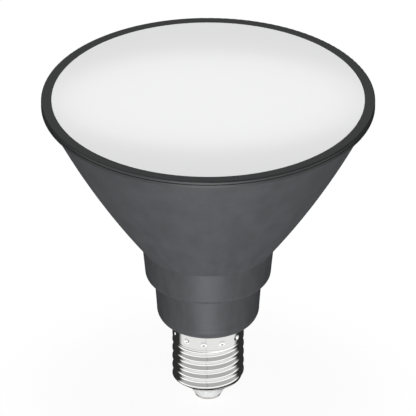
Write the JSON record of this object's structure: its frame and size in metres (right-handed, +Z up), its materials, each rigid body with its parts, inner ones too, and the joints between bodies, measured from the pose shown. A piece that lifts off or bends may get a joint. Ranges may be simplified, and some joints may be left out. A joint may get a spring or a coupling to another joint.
{
  "type": "led reflector bulb",
  "caption": "Wide reflector bulb: bulging cone body with a flat opal lens and bezel, stepped collars, light board, driver and Edison screw cap.",
  "frame": {"origin": "lowest point of the centre contact, on the bulb's axis", "axes": "+Z up the bulb's axis from the cap to the lens; X along the driver board's width"},
  "size_m": [0.121, 0.121, 0.1235],
  "materials": {
    "housing_plastic": "fine matte grain",
    "ring_plastic": "satin",
    "opal_lens": "frosted",
    "cap_metal": "bright nickel plate",
    "cap_insulator": "smooth",
    "contact_metal": "tinned",
    "sink_metal": "pressed sheet",
    "board_white": "white solder mask",
    "led_yellow": "phosphor",
    "screw_steel": "zinc plate",
    "reflector_white": "white",
    "terminal_white": "moulded",
    "board_green": "solder mask",
    "fuse_body": "lacquer",
    "varistor_blue": "dipped epoxy",
    "film_yellow": "moulded box",
    "choke_dark": "ferrite and sleeve",
    "chip_black": "moulded",
    "can_sleeve": "shrink sleeve",
    "ferrite": "ferrite",
    "winding_tape": "polyester tape",
    "lead_red": "insulated wire",
    "lead_black": "insulated wire"
  },
  "bodies": {
    "root": {"centre_contact": "contact_metal", "cap_insulator": "cap_insulator", "screw_shell": "cap_metal", "driver_housing": "housing_plastic", "lamp_body": "housing_plastic", "front_ring": "ring_plastic", "front_lens": "opal_lens", "heat_sink": "sink_metal", "led_board": "board_white", "led_packages": "led_yellow", "board_screws": "screw_steel", "housing_screws": "screw_steel", "inner_reflector": "reflector_white", "lead_connector": "terminal_white", "driver_board": "board_green", "fuse_resistor": "fuse_body", "varistor": "varistor_blue", "film_capacitor": "film_yellow", "filter_choke": "choke_dark", "bridge_rectifier": "chip_black", "input_capacitor": "can_sleeve", "driver_chip": "chip_black", "transformer_core": "ferrite", "transformer_winding": "winding_tape", "output_capacitor": "can_sleeve", "live_lead": "lead_red", "neutral_lead": "lead_black", "led_lead_positive": "lead_red", "led_lead_negative": "lead_black"}
  },
  "joints": []
}
